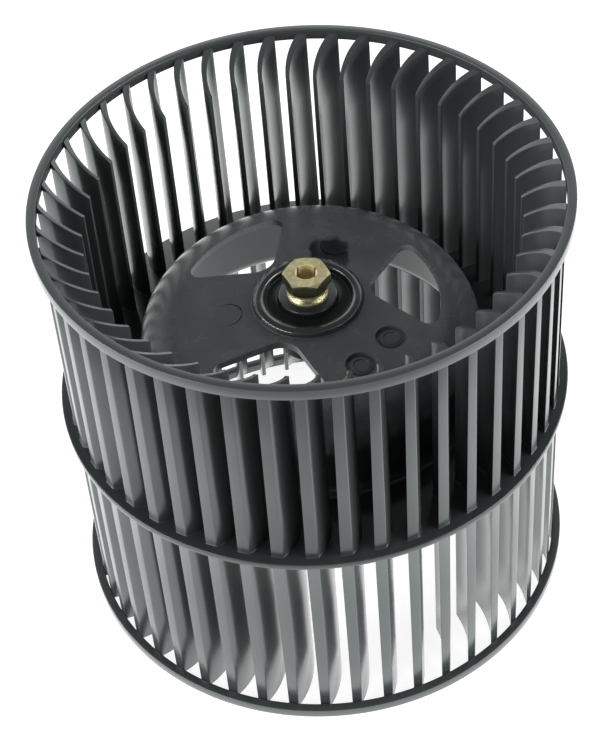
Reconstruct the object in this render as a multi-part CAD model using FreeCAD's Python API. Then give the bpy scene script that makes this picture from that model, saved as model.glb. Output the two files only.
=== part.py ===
import FreeCAD, Part
import math
import os

# Sizes are in millimetres, the wheel stands on its lower ring and its shaft lies along Z.

# Overall wheel
wheel_radius = 75.0
wheel_height = 141.0
origin = FreeCAD.Vector(0, 0, 0)
up = FreeCAD.Vector(0, 0, 1)
full_turn = 360.0
cut_margin = 5.0

# End rings and middle flange
ring_width = 2.6
ring_inner_radius = wheel_radius - ring_width
top_ring_height = 3.4
bottom_ring_height = 3.0
flange_bottom = 70.0
flange_thickness = 2.1
flange_top = flange_bottom + flange_thickness

# Blades, one plan arc for both tiers
blade_count = 48
blade_angle = math.radians(7.96)
blade_depth = 11.7
blade_outer_radius = ring_inner_radius
blade_inner_radius = blade_outer_radius - blade_depth
blade_middle_radius = (blade_inner_radius + blade_outer_radius) / 2
pole_setback = 2.6
pole_radius = blade_inner_radius + pole_setback
pole_lag = math.radians(12.4)
back_arc_radius = 14.75
tip_thickness = 1.15
edge_thickness = 2.05
root_growth = 0.35
inlet_drop_inner = 9.2
inlet_drop_outer = 1.1
root_bite = 0.6
block_width = 12.0
block_lag = 2.5

# Raised web of the motor recess
web_thickness = flange_thickness
web_top = 100.0
web_underside = web_top - web_thickness
shoulder_radius = 8.6
web_wall_radius = 49.6
foot_fillet = 3.0
shoulder_steps = 3
hidden_steps = 2
foot_steps = 1

# Windows between the three arms
window_count = 3
window_angle = 8.0
window_outer_radius = 38.0
window_half_angle = math.radians(49.0)
window_apex = 16.1
window_apex_round = 6.5
window_corner_round = 3.0
outer_corners = 2

# Hub boss, bead and sleeve
insert_radius = 6.0
boss_radius = 8.7
boss_height = 2.4
bead_inner_radius = 12.4
bead_outer_radius = 16.1
bead_height = 1.9
bead_land = 0.9
sleeve_radius = 9.0
sleeve_bottom = 84.0

# Brass insert
head_across_flats = 12.1
head_top = 110.5
head_height = 3.6
head_turn = -7.0
head_chamfer_radius = 6.0
head_chamfer = 0.55
insert_overhang = 0.5
insert_bottom = sleeve_bottom - insert_overhang
shaft_radius = 3.0
shaft_flats = 4.4
flats_turn = -5.0
flats_bottom = web_top
relief_radius = 3.5
relief_height = 1.0


def polar(radius, angle, z):
    return FreeCAD.Vector(radius * math.cos(angle), radius * math.sin(angle), z)


def profile_point(radius, z):
    return FreeCAD.Vector(radius, 0, z)


def line(first, second):
    return Part.LineSegment(first, second).toShape()


def arc(first, middle, last):
    return Part.Arc(first, middle, last).toShape()


def outline(points):
    return [line(points[i], points[i + 1]) for i in range(len(points) - 1)]


def revolve(edges):
    face = Part.Face(Part.Wire(edges))
    return face.revolve(origin, up, full_turn)


def turned(shape, degrees):
    copy = shape.copy()
    copy.rotate(origin, up, degrees)
    return copy


def end_ring(bottom, height):
    outer = Part.makeCylinder(wheel_radius, height, up * bottom)
    return outer.cut(Part.makeCylinder(ring_inner_radius, height, up * bottom))


def side_point(arc_radius, radius):
    # Point of a blade side where its arc about the pole meets a radius
    reach = radius ** 2 + pole_radius ** 2 - arc_radius ** 2
    swing = math.acos(reach / (2 * radius * pole_radius))
    return polar(radius, blade_angle - pole_lag + swing, 0)


def hollow_side():
    # Circle of the hollow side, through its tip, its middle and its edge
    tip_arc_radius = back_arc_radius - tip_thickness
    edge_arc_radius = back_arc_radius - edge_thickness
    middle_arc_radius = (tip_arc_radius + edge_arc_radius) / 2
    tip = side_point(tip_arc_radius, blade_inner_radius)
    middle = side_point(middle_arc_radius, blade_middle_radius)
    edge = side_point(edge_arc_radius, blade_outer_radius)
    circle = arc(tip, middle, edge).Curve
    return circle.Center, circle.Radius


def blade_block(root_z, end_z, toward):
    # Block around one blade, its free end sloped as the inlet flares
    corners = [
        profile_point(blade_inner_radius, root_z),
        profile_point(wheel_radius, root_z),
        profile_point(wheel_radius, end_z),
        profile_point(blade_outer_radius, end_z - toward * inlet_drop_outer),
        profile_point(blade_inner_radius, end_z - toward * inlet_drop_inner),
    ]
    face = Part.Face(Part.Wire(outline(corners + corners[:1])))
    block = face.extrude(FreeCAD.Vector(0, block_width, 0))
    block.translate(FreeCAD.Vector(0, -block_width / 2, 0))
    return turned(block, math.degrees(blade_angle) - block_lag)


def blade(root_z, end_z):
    # One curved blade, its hollow side leaning so that it is thicker at the flange
    toward = 1 if end_z > root_z else -1
    length = abs(end_z - root_z)
    bottom = min(end_z, root_z)
    pole = polar(pole_radius, blade_angle - pole_lag, 0)
    middle = side_point(back_arc_radius, blade_middle_radius)
    centre, radius = hollow_side()
    retreat = (pole - middle).normalize() * root_growth
    root_centre = centre + retreat + up * root_z
    axis = centre + up * end_z - root_centre
    overrun = axis * (cut_margin / length)
    hollow = Part.makeCylinder(radius, length + 2 * cut_margin, root_centre - overrun, axis)
    hollow.rotate(root_centre, axis, full_turn / 4)
    back = Part.makeCylinder(back_arc_radius, length, pole + up * bottom)
    outer = Part.makeCylinder(blade_outer_radius, length, up * bottom)
    body = blade_block(root_z, end_z, toward)
    return body.common(outer).common(back).cut(hollow)


def tier(root_z, end_z):
    first = blade(root_z, end_z)
    return [turned(first, i * full_turn / blade_count) for i in range(blade_count)]


def rounded(centre_radius, centre_z, radius, first, last, steps):
    # Points of a round between two angles, from the centre of the round
    angles = [math.radians(first + (last - first) * i / steps) for i in range(steps + 1)]
    return [profile_point(centre_radius + radius * math.cos(a), centre_z + radius * math.sin(a))
            for a in angles]


def web():
    # Flange, wall, shoulder, plateau, bead, boss and sleeve as one revolved profile
    shoulder_start = web_wall_radius - shoulder_radius
    shoulder_z = web_top - shoulder_radius
    foot_radius = web_wall_radius + foot_fillet
    foot_z = flange_top + foot_fillet
    bead_middle = (bead_inner_radius + bead_outer_radius) / 2
    boss_top = web_top + boss_height
    points = [
        profile_point(insert_radius, boss_top),
        profile_point(insert_radius, sleeve_bottom),
        profile_point(sleeve_radius, sleeve_bottom),
        profile_point(sleeve_radius, web_underside),
    ]
    inner_shoulder = shoulder_radius - web_thickness
    points += rounded(shoulder_start, shoulder_z, inner_shoulder, 90, 0, hidden_steps)
    points += rounded(foot_radius, foot_z, foot_fillet + web_thickness, 180, 270, foot_steps)
    points.append(profile_point(wheel_radius, flange_bottom))
    points.append(profile_point(wheel_radius, flange_top))
    points += rounded(foot_radius, foot_z, foot_fillet, 270, 180, foot_steps)
    points += rounded(shoulder_start, shoulder_z, shoulder_radius, 0, 90, shoulder_steps)
    points += [
        profile_point(bead_outer_radius, web_top),
        profile_point(bead_middle + bead_land, web_top + bead_height),
        profile_point(bead_middle - bead_land, web_top + bead_height),
        profile_point(bead_inner_radius, web_top),
        profile_point(boss_radius, web_top),
        profile_point(boss_radius, boss_top),
    ]
    return revolve(outline(points + points[:1]))


def upright_edges(shape):
    return [edge for edge in shape.Edges if edge.BoundBox.ZLength > web_thickness]


def edge_distance(edge):
    return math.hypot(edge.CenterOfMass.x, edge.CenterOfMass.y)


def window():
    # Wedge with a rounded apex, closed by the outer arc with rounded corners
    bottom = web_underside - cut_margin
    depth = web_thickness + 2 * cut_margin
    reach = wheel_radius - window_apex
    spread = reach * math.tan(window_half_angle)
    corners = [
        FreeCAD.Vector(window_apex, 0, bottom),
        FreeCAD.Vector(wheel_radius, -spread, bottom),
        FreeCAD.Vector(wheel_radius, spread, bottom),
    ]
    face = Part.Face(Part.Wire(outline(corners + corners[:1])))
    wedge = face.extrude(up * depth)
    apex = min(upright_edges(wedge), key=edge_distance)
    wedge = wedge.makeFillet(window_apex_round, [apex])
    disc = Part.makeCylinder(window_outer_radius, depth, up * bottom)
    body = wedge.common(disc)
    outer = sorted(upright_edges(body), key=edge_distance)[-outer_corners:]
    return body.makeFillet(window_corner_round, outer)


def wheel():
    body = web()
    for i in range(window_count):
        body = body.cut(turned(window(), window_angle + i * full_turn / window_count))
    pieces = [
        end_ring(wheel_height - top_ring_height, top_ring_height),
        end_ring(0, bottom_ring_height),
    ]
    pieces += tier(flange_top - root_bite, wheel_height)
    pieces += tier(flange_bottom + root_bite, 0)
    return body.multiFuse(pieces)


def hexagon(radius, z):
    corners = [polar(radius, i * math.tau / 6, z) for i in range(6)]
    return Part.Wire(outline(corners + corners[:1]))


def insert():
    # Hexagon bar, chamfered at its top and turned down to the neck
    corner = head_across_flats / math.sqrt(3)
    head_bottom = head_top - head_height
    head = Part.Face(hexagon(corner, head_bottom)).extrude(up * head_height)
    head = turned(head, head_turn)
    chamfered = [
        profile_point(0, head_bottom),
        profile_point(corner, head_bottom),
        profile_point(corner, head_top - head_chamfer),
        profile_point(head_chamfer_radius, head_top),
        profile_point(0, head_top),
    ]
    head = head.common(revolve(outline(chamfered + chamfered[:1])))
    neck_length = head_bottom - insert_bottom
    neck = Part.makeCylinder(insert_radius, neck_length, up * insert_bottom)
    body = head.fuse(neck)
    # Round bore, relief groove and two broached flats, from the bottom up
    bore_length = flats_bottom - insert_bottom
    bore = Part.makeCylinder(shaft_radius, bore_length, up * insert_bottom)
    relief_bottom = flats_bottom - relief_height
    relief = Part.makeCylinder(relief_radius, relief_height, up * relief_bottom)
    broach_length = head_top - flats_bottom
    broach = Part.makeCylinder(shaft_radius, broach_length, up * flats_bottom)
    flats = Part.makeBox(
        shaft_flats, 2 * shaft_radius, broach_length,
        FreeCAD.Vector(-shaft_flats / 2, -shaft_radius, flats_bottom))
    broach = broach.common(turned(flats, flats_turn))
    for cutter in (bore, relief, broach):
        body = body.cut(cutter)
    return body.removeSplitter()


os.makedirs("parts", exist_ok=True)
wheel().exportStep("parts/impeller_wheel.step")
insert().exportStep("parts/hub_insert.step")
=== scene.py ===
import math

import bpy
from mathutils import Matrix, Vector


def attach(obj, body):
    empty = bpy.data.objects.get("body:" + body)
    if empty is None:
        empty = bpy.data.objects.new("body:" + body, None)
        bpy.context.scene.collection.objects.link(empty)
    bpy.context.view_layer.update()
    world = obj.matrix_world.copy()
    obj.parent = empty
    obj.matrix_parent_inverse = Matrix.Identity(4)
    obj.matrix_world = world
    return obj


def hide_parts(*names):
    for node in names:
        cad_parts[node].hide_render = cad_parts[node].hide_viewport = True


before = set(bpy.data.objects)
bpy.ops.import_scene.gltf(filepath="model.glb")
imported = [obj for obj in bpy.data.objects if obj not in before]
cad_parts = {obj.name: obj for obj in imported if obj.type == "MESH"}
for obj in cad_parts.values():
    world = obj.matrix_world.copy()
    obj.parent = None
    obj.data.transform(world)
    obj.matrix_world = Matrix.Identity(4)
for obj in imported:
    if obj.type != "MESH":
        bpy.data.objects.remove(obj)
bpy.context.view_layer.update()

MM = 0.001
TURN = 2 * math.pi
AXIS_R = 0.001

# Edges sharper than this many degrees stay sharp in the shading
SHARP = 35
BLADE_SHARP = 40
WEB_SHARP = 32

# Wheel, in millimetres as in the CAD source
WHEEL_R = 75.0
WHEEL_H = 141.0
RING_IN = 72.4
TOP_RING_H = 3.4
BOTTOM_RING_H = 3.0
RING_SOFT = 0.22
RING_STEPS = 192
FLANGE_LOW = 70.0
FLANGE_TOP = 72.1
FLANGE_SOFT = 0.3
SOFT_STEPS = 3

# Blades, one plan for both tiers
BLADES = 48
BLADE_ANGLE = math.radians(7.96)
TIP_R = 60.7
EDGE_R = 72.4
POLE_R = 63.3
POLE_LAG = math.radians(12.4)
BACK_ARC = 14.75
TIP_T = 1.15
EDGE_T = 2.05
SIDE_STEPS = 10
CORNER_TURN = math.radians(35)
CORNER_SOFT = 0.3

# Rows of a blade: heights at the root, shares of its length, depth and growth at its free end
ROOT_GROWTH = 0.35
ROOT_BITE = 0.4
ROOT_FILLET = 0.25
ROOT_ROWS = (-ROOT_BITE, 0.0, 0.05, 0.12, ROOT_FILLET)
MIDDLE_ROWS = (0.35, 0.7, 1.0)
END_ROUND = 0.3
END_ROWS = ((0.09, -0.08), (0.0, -0.25))
DROP_IN = 9.2
DROP_OUT = 1.1

# Web: wall, shoulder and plateau, which sinks a little towards its rim
WEB_TOP = 100.0
WEB_T = 2.1
WALL_R = 49.6
SHOULDER = 11.8
SHOULDER_R = WALL_R - SHOULDER
FOOT = 3.0
PLATEAU_FLAT_R = 16.6
PLATEAU_DROP = 1.6
PLATEAU_ROWS = (30.0, 18.0, PLATEAU_FLAT_R)
WEB_STEPS = 180
ROUND_STEPS = 8
SHOULDER_STEPS = 12

# Hub: sleeve, insert's seat, and bead and boss as radius and height above the plateau
SLEEVE_R = 9.0
SLEEVE_LOW = 84.0
SEAT_R = 6.02
BOSS_H = 2.4
BEAD_OUT = 16.55
BEAD_IN = 11.95
BEAD_FOOT = 0.45
BEAD_STEPS = 5
BEAD_OUTER_SIDE = ((15.86, 1.3), (15.64, 1.66), (15.3, 1.88), (14.2, 1.95))
BEAD_INNER_SIDE = ((13.2, 1.88), (12.95, 1.72), (12.62, 1.25))
BOSS_SIDE = ((9.4, 0.0), (8.9, 0.15), (8.7, 0.5), (8.62, 1.9), (8.38, 2.25), (8.0, BOSS_H))

# Windows between the three arms
WINDOWS = 3
WINDOW_ANGLE = math.radians(8.0)
WINDOW_R = 38.0
WINDOW_HALF = math.radians(49.0)
WINDOW_APEX = 16.1
APEX_ROUND = 6.5
CORNER_ROUND = 3.0
WINDOW_STEPS = 8
WINDOW_CUT_LOW = 90.0
WINDOW_CUT_HIGH = 104.0

# Round moulded marks, each at a radius and an angle, cut with a profile of radius and depth
STAMPS = ((29.9, -63.6), (28.2, -37.4))
STAMP_FLOOR = ((0.0, -0.35), (2.2, -0.35), (2.3, -0.1), (2.7, -0.1), (2.8, -0.35), (3.3, -0.35))
STAMP_EDGE = ((3.4, -0.65), (4.4, -0.65), (4.5, 1.0), (0.0, 1.0))
PINS = ((23.7, 188.5), (23.9, 67.5))
PIN_GROOVE = ((4.15, -0.16), (4.4, -0.16), (4.5, 0.4), (4.05, 0.4))
MARK_STEPS = 48

# Plastic
PLASTIC_TONE = (0.034, 0.037, 0.038, 1)
PLASTIC_TINT = (0.90, 1.0, 0.985, 1)
# The darker tone is bare plastic, and also the painted shade where the web is shaded
BARE_AND_SHADED_TONE = (0.012, 0.014, 0.015, 1)
DUSTY_TONE = (0.082, 0.090, 0.093, 1)

# Where dust lies on the web and where shade is painted on it, as spans in millimetres over
# which they set in
WALL_SHADE_Z = (86.0, 95.0)
HUB_SHADE_R = (15.8, 16.4)
STAMP_SHADE_R = (4.0, 4.6)
BOSS_TOP_R = (8.0, 8.4)
BEAD_Z = (100.4, 101.0)
# Painted shade spot behind the hub: its middle, half sizes and wavering edge in millimetres
SPOT_MIDDLE = {"X": 6.6, "Y": 17.6}
SPOT_HALF = {"X": 5.6, "Y": 8.4}
SPOT_WAVER = 0.9
FULL_TONE_LEVEL = 1.25

# Brass
HEAD_TONES = ((0.46, 0.42, 0.22, 1), (0.66, 0.60, 0.37, 1))
# Pale bore tone: painted light inside the bore
BORE_PAINTED_LIGHT = (0.98, 0.84, 0.42, 1)
# Dark tone of the painted shade lines along the flats
FLAT_SHADE_TONE = (0.10, 0.05, 0.02, 1)
FLATS_TURN = math.radians(-5.0)
FLAT_SHADE_INNER = (2.05, 2.15)
FLAT_SHADE_OUTER = (2.6, 2.8)
FLAT_SHADE_END = (1.8, 2.2)
BORE_R = (3.1, 3.2)
HEAD_FACE_Z = (109.6, 110.2)
FLARE_Z = (102.2, 106.2)
FLARE = 2.1
INSERT_SOFT = 0.12

# Floor and world, where a level of 1 is plain white
FLOOR_SIZE = 6.0
FLOOR_Z = -0.1
FLOOR_TONE = (0.35, 0.35, 0.35, 1)
FLOOR_SEEN = 0.88
FLOOR_GLOW_Y = (-220.0, -100.0)
FLOOR_GLOW = (0.5, 1.55)
ROOM_SEEN = 1.0
ROOM_RISE = (0.56, 0.69)
ROOM_LEVEL = (1.7, 0.2)
ROOM_FRONT = (-0.82, -0.66)
ROOM_FRONT_LEVEL = (0.05, 1.0)
WHITE = (1, 1, 1, 1)

# Wide lamps at both sides, each with its azimuth in degrees, width in metres and power
LAMPS = (("left", 200, 1.5, 20), ("right", 350, 1.4, 18))
LAMP_RISE = math.radians(22)
LAMP_DISTANCE = 1.3
LAMP_HEIGHT = 0.35
LAMP_AIM = Vector((0, 0, 0.1))

# Camera, fitted to the rings of the photograph
IMAGE_H = 741
FOCAL_PX = 2027.96
SENSOR = 36.0
CAMERA_DISTANCE = 0.554373
CAMERA_RISE = math.radians(40.9451)
CAMERA_YAW = math.radians(0.3855)
CAMERA_DIP = math.radians(-5.0492)
CAMERA_ROLL = math.radians(-4.4381)


# Meshes

def polar(r, a, z=0.0):
    return Vector((r * math.cos(a), r * math.sin(a), z))


def make_object(name, vertices, faces, sharp=SHARP):
    mesh = bpy.data.meshes.new(name)
    mesh.from_pydata([tuple(Vector(v) * MM) for v in vertices], [], faces)
    mesh.validate()
    mesh.shade_smooth()
    mesh.set_sharp_from_angle(angle=math.radians(sharp))
    obj = bpy.data.objects.new(name, mesh)
    bpy.context.scene.collection.objects.link(obj)
    return obj


def lathe(name, profile, steps):
    # Turns a closed profile of (r, z) points about Z
    count = len(profile)
    vertices = [polar(r, TURN * i / steps, z) for i in range(steps) for r, z in profile]
    faces = []
    for i in range(steps):
        a, b = i * count, ((i + 1) % steps) * count
        for j in range(count):
            k = (j + 1) % count
            faces.append((a + j, b + j, b + k, a + k))
    return make_object(name, vertices, faces)


def arc_points(cr, cz, radius, first, last, steps):
    angles = [math.radians(first + (last - first) * i / steps) for i in range(steps + 1)]
    return [(cr + radius * math.cos(a), cz + radius * math.sin(a)) for a in angles]


def ring(name, low, high):
    inner, outer = RING_IN + RING_SOFT, WHEEL_R - RING_SOFT
    bottom, top = low + RING_SOFT, high - RING_SOFT
    profile = []
    profile += arc_points(inner, bottom, RING_SOFT, 180, 270, SOFT_STEPS)
    profile += arc_points(outer, bottom, RING_SOFT, 270, 360, SOFT_STEPS)
    profile += arc_points(outer, top, RING_SOFT, 0, 90, SOFT_STEPS)
    profile += arc_points(inner, top, RING_SOFT, 90, 180, SOFT_STEPS)
    return lathe(name, profile, RING_STEPS)


# Blades

def side_point(arc_radius, r):
    # Point of a blade side where its arc about the pole meets a radius
    reach = r * r + POLE_R * POLE_R - arc_radius * arc_radius
    return polar(r, BLADE_ANGLE - POLE_LAG + math.acos(reach / (2 * r * POLE_R)))


def round_corners(points, distance, steps):
    # Replaces each sharp corner of a closed plan outline by a short curve
    result = []
    count = len(points)
    for i, p in enumerate(points):
        before, after = points[i - 1], points[(i + 1) % count]
        if (p - before).angle(after - p) < CORNER_TURN:
            result.append(p)
            continue
        a = p + (before - p).normalized() * distance
        b = p + (after - p).normalized() * distance
        for s in range(steps + 1):
            t = s / steps
            result.append(a * (1 - t) ** 2 + p * (2 * t * (1 - t)) + b * t * t)
    return result


def blade_plan(growth):
    back, hollow = [], []
    for i in range(SIDE_STEPS + 1):
        share = i / SIDE_STEPS
        r = TIP_R + (EDGE_R - TIP_R) * share
        thickness = TIP_T + (EDGE_T - TIP_T) * share + growth
        back.append(side_point(BACK_ARC, r))
        hollow.append(side_point(BACK_ARC - thickness, r))
    return round_corners(back + hollow[::-1], CORNER_SOFT, SOFT_STEPS)


def outward(points):
    # Outward normals of a closed plan outline
    normals = []
    count = len(points)
    for i in range(count):
        along = points[(i + 1) % count] - points[i - 1]
        normals.append(Vector((-along.y, along.x, 0)).normalized())
    centre = sum(points, Vector((0, 0, 0))) / count
    if (points[0] - centre).dot(normals[0]) < 0:
        normals = [-n for n in normals]
    return normals


def blade_rows(root_z, end_z):
    # Rows of one blade from its root on the flange to its sloped free end
    toward = 1 if end_z > root_z else -1
    length = abs(end_z - root_z)
    root_plan = blade_plan(ROOT_GROWTH)
    free_plan = blade_plan(0.0)
    normals = outward(root_plan)

    def row(height_of, flare):
        # Plan at a height that depends on the radius, grown or shrunk by the flare
        points = []
        limit = EDGE_R + max(flare, 0.0)
        for p, q, n in zip(root_plan, free_plan, normals):
            height = height_of(q.length)
            xy = p.lerp(q, min(1.0, height / length)) + n * flare
            if xy.length > limit:
                xy = xy.normalized() * limit
            points.append((xy.x, xy.y, root_z + toward * height))
        return points

    def end_height(r, below):
        share = (r - TIP_R) / (EDGE_R - TIP_R)
        return length - (DROP_IN + (DROP_OUT - DROP_IN) * share) - below

    rows = []
    for height in ROOT_ROWS:
        left = ROOT_FILLET - max(height, 0.0)
        flare = ROOT_FILLET - math.sqrt(max(0.0, ROOT_FILLET ** 2 - left ** 2))
        rows.append(row(lambda r: height, flare))
    for share in MIDDLE_ROWS:
        rows.append(row(lambda r: end_height(r, END_ROUND) * share, 0.0))
    for below, flare in END_ROWS:
        rows.append(row(lambda r: end_height(r, below), flare))
    return rows


def blades(name, root_z, end_z):
    rows = blade_rows(root_z, end_z)
    count = len(rows[0])
    vertices, faces = [], []
    for i in range(BLADES):
        turn = Matrix.Rotation(TURN * i / BLADES, 3, "Z")
        base = len(vertices)
        for points in rows:
            vertices += [turn @ Vector(p) for p in points]
        for k in range(len(rows) - 1):
            a, b = base + k * count, base + (k + 1) * count
            for j in range(count):
                n = (j + 1) % count
                faces.append((a + j, a + n, b + n, b + j))
        top = base + (len(rows) - 1) * count
        faces.append(tuple(range(top, top + count)))
        faces.append(tuple(range(base + count - 1, base - 1, -1)))
    return make_object(name, vertices, faces, BLADE_SHARP)


# Web, with the windows cut through its plateau

def plateau_z(r):
    share = (r - PLATEAU_FLAT_R) / (SHOULDER_R - PLATEAU_FLAT_R)
    return WEB_TOP - PLATEAU_DROP * min(max(share, 0.0), 1.0)


def on_web_top(points):
    return [(r, WEB_TOP + z) for r, z in points]


def wall_profile():
    # From the sleeve out under the web to the flange's edge, and back over it to the plateau
    shoulder_z = plateau_z(SHOULDER_R) - SHOULDER
    foot_r, foot_z = WALL_R + FOOT, FLANGE_TOP + FOOT
    edge_r = WHEEL_R - FLANGE_SOFT
    points = arc_points(SHOULDER_R, shoulder_z, SHOULDER - WEB_T, 90, 0, ROUND_STEPS)
    points += arc_points(foot_r, foot_z, FOOT + WEB_T, 180, 270, ROUND_STEPS)
    points += arc_points(edge_r, FLANGE_LOW + FLANGE_SOFT, FLANGE_SOFT, 270, 360, SOFT_STEPS)
    points += arc_points(edge_r, FLANGE_TOP - FLANGE_SOFT, FLANGE_SOFT, 0, 90, SOFT_STEPS)
    points += arc_points(foot_r, foot_z, FOOT, 270, 180, ROUND_STEPS)
    points += arc_points(SHOULDER_R, shoulder_z, SHOULDER, 0, 90, SHOULDER_STEPS)
    return points


def bead_profile():
    foot_z = WEB_TOP + BEAD_FOOT
    points = arc_points(BEAD_OUT, foot_z, BEAD_FOOT, 270, 190, BEAD_STEPS)
    points += on_web_top(BEAD_OUTER_SIDE + BEAD_INNER_SIDE)
    points += arc_points(BEAD_IN, foot_z, BEAD_FOOT, 350, 270, BEAD_STEPS)
    return points


def web_profile():
    points = [(SEAT_R, WEB_TOP + BOSS_H), (SEAT_R, SLEEVE_LOW)]
    points += [(SLEEVE_R, SLEEVE_LOW), (SLEEVE_R, WEB_TOP - WEB_T)]
    points += wall_profile()
    points += [(r, plateau_z(r)) for r in PLATEAU_ROWS]
    points += bead_profile()
    points += on_web_top(BOSS_SIDE)
    return points


def plan_arc(centre, radius, first, last):
    angles = [first + (last - first) * i / WINDOW_STEPS for i in range(WINDOW_STEPS + 1)]
    return [centre + polar(radius, a) for a in angles]


def window_plan():
    # Rounded kite between two arms, about its own centre line
    half_sin, half_cos = math.sin(WINDOW_HALF), math.cos(WINDOW_HALF)
    apex = polar(WINDOW_APEX + APEX_ROUND / half_sin, 0.0)
    upper = plan_arc(apex, APEX_ROUND, math.pi, math.pi / 2 + WINDOW_HALF)
    # Corner circle, tangent to the side and to the outer arc
    inner = WINDOW_R - CORNER_ROUND
    side = WINDOW_APEX * half_sin + CORNER_ROUND
    along = math.sqrt(inner ** 2 - side ** 2)
    corner = Vector((half_sin, -half_cos, 0)) * side + Vector((half_cos, half_sin, 0)) * along
    last = math.atan2(corner.y, corner.x)
    upper += plan_arc(corner, CORNER_ROUND, math.atan2(half_cos, -half_sin), last)
    upper += plan_arc(Vector((0, 0, 0)), WINDOW_R, last, 0.0)[1:-1]
    lower = [Vector((p.x, -p.y, 0)) for p in upper[1:]]
    return upper + [polar(WINDOW_R, 0)] + lower[::-1]


def prism(name, plan, low, high):
    count = len(plan)
    vertices = [(p.x, p.y, low) for p in plan] + [(p.x, p.y, high) for p in plan]
    faces = [(i, (i + 1) % count, count + (i + 1) % count, count + i) for i in range(count)]
    faces.append(tuple(range(count, 2 * count)))
    faces.append(tuple(range(count - 1, -1, -1)))
    return make_object(name, vertices, faces)


def window_cutter(index):
    turn = Matrix.Rotation(WINDOW_ANGLE + TURN * index / WINDOWS, 3, "Z")
    plan = [turn @ p for p in window_plan()][::-1]
    return prism("window_cutter", plan, WINDOW_CUT_LOW, WINDOW_CUT_HIGH)


def mark_cutter(profile, distance, degrees):
    level = plateau_z(distance)
    points = [(max(r, AXIS_R), level + z) for r, z in profile]
    cutter = lathe("mark_cutter", points, MARK_STEPS)
    place = polar(distance, math.radians(degrees)) * MM
    cutter.data.transform(Matrix.Translation(place))
    return cutter


def cut(obj, cutter):
    modifier = obj.modifiers.new("cut", "BOOLEAN")
    modifier.operation = "DIFFERENCE"
    modifier.solver = "EXACT"
    modifier.object = cutter
    depsgraph = bpy.context.evaluated_depsgraph_get()
    mesh = bpy.data.meshes.new_from_object(obj.evaluated_get(depsgraph))
    obj.modifiers.clear()
    obj.data = mesh
    bpy.data.objects.remove(cutter)


def build_web():
    obj = lathe("wheel_web", web_profile(), WEB_STEPS)
    for i in range(WINDOWS):
        cut(obj, window_cutter(i))
    # Two recessed stamps with a plain raised ring, and two flush marks with a thin groove
    for distance, degrees in STAMPS:
        cut(obj, mark_cutter(STAMP_FLOOR + STAMP_EDGE, distance, degrees))
    for distance, degrees in PINS:
        cut(obj, mark_cutter(PIN_GROOVE, distance, degrees))
    obj.data.shade_smooth()
    obj.data.set_sharp_from_angle(angle=math.radians(WEB_SHARP))
    return obj


# Materials

def metres(span):
    return [value * MM for value in span]


class Graph:
    # Node tree of a material or of the world, with short ways to add to it

    def __init__(self, tree):
        self.nodes = tree.nodes
        self.links = tree.links

    def give(self, socket, value):
        # A socket takes an output to link or a plain value
        if isinstance(value, bpy.types.NodeSocket):
            self.links.new(value, socket)
        else:
            socket.default_value = value

    def feed(self, made, inputs):
        for key, value in inputs.items():
            self.give(made.inputs[key], value)

    def add(self, kind, inputs, **settings):
        made = self.nodes.new("ShaderNode" + kind)
        for key, value in settings.items():
            setattr(made, key, value)
        self.feed(made, inputs)
        return made

    def place(self, kind="Object"):
        return self.add("TexCoord", {}).outputs[kind]

    def split(self, vector):
        return self.add("SeparateXYZ", {"Vector": vector}).outputs

    def math(self, operation, *values):
        return self.add("Math", dict(enumerate(values)), operation=operation).outputs[0]

    def between(self, value, span, ends, shape="SMOOTHSTEP"):
        # Runs from one end to the other while the value runs over the span
        inputs = {"Value": value, "From Min": span[0], "From Max": span[1]}
        inputs.update({"To Min": ends[0], "To Max": ends[1]})
        return self.add("MapRange", inputs, interpolation_type=shape).outputs[0]

    def noise(self, place, scale, detail, roughness=0.5):
        inputs = {"Vector": place, "Scale": scale, "Detail": detail, "Roughness": roughness}
        return self.add("TexNoise", inputs).outputs[0]

    def bump(self, height, strength, distance):
        inputs = {"Height": height, "Strength": strength, "Distance": distance}
        return self.add("Bump", inputs).outputs[0]

    def mixed(self, share, *colours):
        # Goes from the first colour to the second as the share goes from nought to one
        mix = self.add("Mix", {0: share}, data_type="RGBA")
        sockets = [socket for socket in mix.inputs if socket.type == "RGBA"]
        for socket, colour in zip(sockets, colours):
            self.give(socket, colour)
        return [socket for socket in mix.outputs if socket.type == "RGBA"][0]

    def distance(self, place, centre):
        # Distance from a point of the plan, height left out
        inputs = {0: place, 1: (1.0, 1.0, 0.0)}
        flat = self.add("VectorMath", inputs, operation="MULTIPLY").outputs[0]
        inputs = {0: flat, 1: centre}
        return self.add("VectorMath", inputs, operation="DISTANCE").outputs["Value"]

    def level(self, given, seen):
        # Strength of the light that is given, and the one that the camera sees
        path = self.add("LightPath", {}).outputs
        direct = self.math("MAXIMUM", path["Is Camera Ray"], path["Is Transmission Ray"])
        # Inputs 2 and 3 of the mix are its two plain numbers
        return self.add("Mix", {0: direct, 2: given, 3: seen}).outputs[0]


def new_material(name):
    material = bpy.data.materials.new(name)
    material.use_nodes = True
    return material, Graph(material.node_tree), material.node_tree.nodes["Principled BSDF"]


def black_plastic(name):
    material, graph, shader = new_material(name)
    grain = graph.noise(graph.place(), scale=350.0, detail=3.0)
    graph.feed(shader, {
        "Base Color": PLASTIC_TONE,
        "Roughness": 0.25,
        "IOR": 1.6,
        "Specular Tint": PLASTIC_TINT,
        "Normal": graph.bump(grain, strength=0.02, distance=0.0005),
    })
    return material


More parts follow.
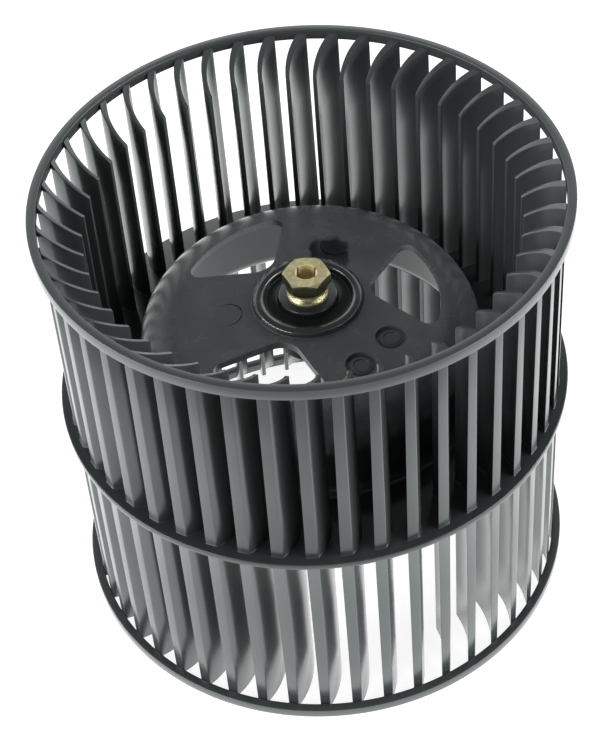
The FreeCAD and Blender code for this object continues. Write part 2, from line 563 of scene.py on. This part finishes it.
def painted_shade_spot(graph, place):
    # Painted shade: uneven oblong behind the hub, nought inside and one outside
    waver = graph.noise(place, scale=260.0, detail=1.0)
    waver = graph.between(waver, (0.3, 0.7), metres((-SPOT_WAVER, SPOT_WAVER)), "LINEAR")
    axes = graph.split(place)
    powers = []
    for axis in ("X", "Y"):
        value = graph.math("ADD", axes[axis], waver)
        value = graph.math("SUBTRACT", value, SPOT_MIDDLE[axis] * MM)
        value = graph.math("DIVIDE", value, SPOT_HALF[axis] * MM)
        value = graph.math("ABSOLUTE", value)
        powers.append(graph.math("POWER", value, 3.0))
    total = graph.math("ADD", *powers)
    return graph.between(total, (0.65, 1.35), (0.0, 1.0))


def dust_and_painted_shade(graph, place, height, outside_shade):
    # Mottled dust haze on the plateau, darkened by painted shade on the lower wall and the
    # flange, in the stamps, and round the hub and in the spot behind it
    # Painted shade lower down, on the wall and the flange between the blades
    high = graph.between(height, metres(WALL_SHADE_Z), (0.15, 1.0))
    unshaded = graph.math("MINIMUM", outside_shade, high)
    # Painted shade inside the recessed stamps
    for distance, degrees in STAMPS:
        stamp = graph.distance(place, polar(distance, math.radians(degrees)) * MM)
        stamp = graph.between(stamp, metres(STAMP_SHADE_R), (0.45, 1.0))
        unshaded = graph.math("MINIMUM", unshaded, stamp)
    mottle = graph.noise(place, scale=90.0, detail=5.0, roughness=0.65)
    tone_level = graph.between(mottle, (0.2, 0.8), (0.7, 1.3), "LINEAR")
    return graph.math("MULTIPLY", tone_level, unshaded)


def web_plastic(name):
    # Dusty plateau with painted shade, darker and less reflective, round the hub and in one
    # spot behind it; glossy bead, dull boss
    material, graph, shader = new_material(name)
    place = graph.place()
    height = graph.split(place)["Z"]
    middle = graph.distance(place, (0, 0, 0))
    # Painted shade round the hub and in the spot behind it: nought there, one elsewhere
    hub = graph.between(middle, metres(HUB_SHADE_R), (0.0, 1.0))
    outside_shade = graph.math("MINIMUM", hub, painted_shade_spot(graph, place))
    tone_level = dust_and_painted_shade(graph, place, height, outside_shade)
    boss = graph.between(middle, metres(BOSS_TOP_R), (0.34, 0.0), "LINEAR")
    roughness = graph.between(tone_level, (0.0, FULL_TONE_LEVEL), (0.14, 0.30), "LINEAR")
    bead = graph.between(height, metres(BEAD_Z), (0.18, 1.0), "LINEAR")
    inside = graph.between(hub, (0.0, 1.0), (1.0, 0.0), "LINEAR")
    # Less reflection in the painted shade, to darken it further
    specular = graph.between(outside_shade, (0.0, 1.0), (0.14, 0.4), "LINEAR")
    specular = graph.math("MAXIMUM", specular, graph.math("MULTIPLY", bead, inside))
    # Base colour goes from the dark bare and painted-shade tone to the dusty tone
    dust_and_shade_share = graph.between(tone_level, (0.0, FULL_TONE_LEVEL), (0.0, 1.0), "LINEAR")
    fine = graph.noise(place, scale=420.0, detail=2.0)
    graph.feed(shader, {
        "Base Color": graph.mixed(dust_and_shade_share, BARE_AND_SHADED_TONE, DUSTY_TONE),
        "Roughness": graph.math("MAXIMUM", roughness, boss),
        "IOR": 1.55,
        "Specular IOR Level": graph.math("MAXIMUM", specular, boss),
        "Specular Tint": PLASTIC_TINT,
        "Normal": graph.bump(fine, strength=0.05, distance=0.0004),
    })
    return material


def flat_shade(graph, place):
    # Painted shade: one along the two flats of the shaft hole, nought elsewhere
    inputs = {"Vector": place, "Angle": FLATS_TURN}
    axes = graph.split(graph.add("VectorRotate", inputs, invert=True).outputs[0])
    across = graph.math("ABSOLUTE", axes["X"])
    along = graph.math("ABSOLUTE", axes["Y"])
    inner = graph.between(across, metres(FLAT_SHADE_INNER), (0.0, 1.0))
    outer = graph.between(across, metres(FLAT_SHADE_OUTER), (1.0, 0.0))
    ends = graph.between(along, metres(FLAT_SHADE_END), (1.0, 0.0))
    return graph.math("MULTIPLY", graph.math("MULTIPLY", inner, outer), ends)


def turned_brass(name):
    # Matt mottled head, polished neck that flares at its foot, bore painted pale and dull as
    # painted light, and painted shade lines along the flats
    material, graph, shader = new_material(name)
    place = graph.place()
    height = graph.split(place)["Z"]
    cloud = graph.noise(place, scale=700.0, detail=3.0)
    patchy = graph.between(cloud, (0.35, 0.65), (0.0, 1.0), "LINEAR")
    outside = graph.between(graph.distance(place, (0, 0, 0)), metres(BORE_R), (0.0, 1.0))
    tone = graph.mixed(outside, BORE_PAINTED_LIGHT, graph.mixed(patchy, *HEAD_TONES))
    flare = graph.between(height, metres(FLARE_Z), (1.0, 0.0))
    graph.feed(shader, {
        "Base Color": graph.mixed(flat_shade(graph, place), tone, FLAT_SHADE_TONE),
        "Metallic": graph.between(outside, (0.0, 1.0), (0.3, 0.95)),
        "Roughness": graph.between(height, metres(HEAD_FACE_Z), (0.24, 0.42), "LINEAR"),
        "Anisotropic": 0.4,
        "Tangent": graph.add("Tangent", {}, direction_type="RADIAL", axis="Z").outputs[0],
        "Normal": graph.bump(flare, strength=1.0, distance=FLARE * MM),
    })
    return material


def table_white(name):
    # Bright matt table: plain white to the camera, a light from below for the object
    material, graph, shader = new_material(name)
    glow = graph.between(graph.split(graph.place())["Y"], metres(FLOOR_GLOW_Y), FLOOR_GLOW)
    graph.feed(shader, {
        "Base Color": FLOOR_TONE,
        "Roughness": 0.9,
        "Emission Color": WHITE,
        "Emission Strength": graph.level(glow, FLOOR_SEEN),
    })
    return material


# Insert, floor, light and camera

def dress_insert(insert, material):
    # The CAD solid itself, with its edges broken
    insert.data.materials.clear()
    insert.data.materials.append(material)
    soften = insert.modifiers.new("soft_edges", "BEVEL")
    soften.width = INSERT_SOFT * MM
    soften.segments = 2
    soften.limit_method = "ANGLE"
    soften.angle_limit = math.radians(30)


def build_floor():
    bpy.ops.mesh.primitive_plane_add(size=FLOOR_SIZE, location=(0, 0, FLOOR_Z * MM))
    plane = bpy.context.object
    plane.name = "floor"
    plane.data.materials.append(table_white("floor_white"))
    return plane


def build_world():
    # Bright up to about 37 degrees above the horizon, dim above that and dark in front
    world = bpy.data.worlds.new("studio")
    bpy.context.scene.world = world
    world.use_nodes = True
    graph = Graph(world.node_tree)
    direction = graph.split(graph.place("Generated"))
    level = graph.between(direction["Z"], ROOM_RISE, ROOM_LEVEL)
    front = graph.between(direction["Y"], ROOM_FRONT, ROOM_FRONT_LEVEL)
    level = graph.math("MULTIPLY", level, front)
    strength = graph.level(level, ROOM_SEEN)
    graph.feed(graph.nodes["Background"], {"Color": WHITE, "Strength": strength})


def lamp(name, azimuth, width, power):
    data = bpy.data.lights.new(name, "AREA")
    data.shape = "RECTANGLE"
    data.size = width
    data.size_y = LAMP_HEIGHT
    data.energy = power
    obj = bpy.data.objects.new(name, data)
    across, up = math.cos(LAMP_RISE), math.sin(LAMP_RISE)
    side = polar(across, math.radians(azimuth), up)
    obj.location = LAMP_AIM + side * LAMP_DISTANCE
    obj.rotation_euler = side.to_track_quat("Z", "Y").to_euler()
    bpy.context.scene.collection.objects.link(obj)


def build_camera():
    data = bpy.data.cameras.new("camera")
    data.sensor_width = SENSOR
    data.lens = FOCAL_PX * SENSOR / IMAGE_H
    data.clip_start = 0.01
    obj = bpy.data.objects.new("camera", data)
    back, up = CAMERA_DISTANCE * math.cos(CAMERA_RISE), CAMERA_DISTANCE * math.sin(CAMERA_RISE)
    obj.matrix_world = (
        Matrix.Translation((0, -back, WHEEL_H * MM + up))
        @ Matrix.Rotation(math.pi / 2 - CAMERA_RISE, 4, "X")
        @ Matrix.Rotation(CAMERA_YAW, 4, "Y")
        @ Matrix.Rotation(CAMERA_DIP, 4, "X")
        @ Matrix.Rotation(CAMERA_ROLL, 4, "Z")
    )
    bpy.context.scene.collection.objects.link(obj)
    bpy.context.scene.camera = obj


satin = black_plastic("wheel_satin")
gloss = web_plastic("web_gloss")
brass = turned_brass("insert_brass")

top_ring = ring("wheel_top_ring", WHEEL_H - TOP_RING_H, WHEEL_H)
low_ring = ring("wheel_lower_ring", 0.0, BOTTOM_RING_H)
upper = blades("wheel_upper_blades", FLANGE_TOP, WHEEL_H)
lower = blades("wheel_lower_blades", FLANGE_LOW, 0.0)
web = build_web()
for piece in (top_ring, low_ring, upper, lower):
    piece.data.materials.append(satin)
web.data.materials.append(gloss)
for piece in (top_ring, low_ring, upper, lower, web):
    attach(piece, "root")
    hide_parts("impeller_wheel")

dress_insert(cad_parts["hub_insert"], brass)

floor = build_floor()

build_world()
for settings in LAMPS:
    lamp(*settings)
build_camera()
bpy.context.scene.view_settings.view_transform = "Standard"
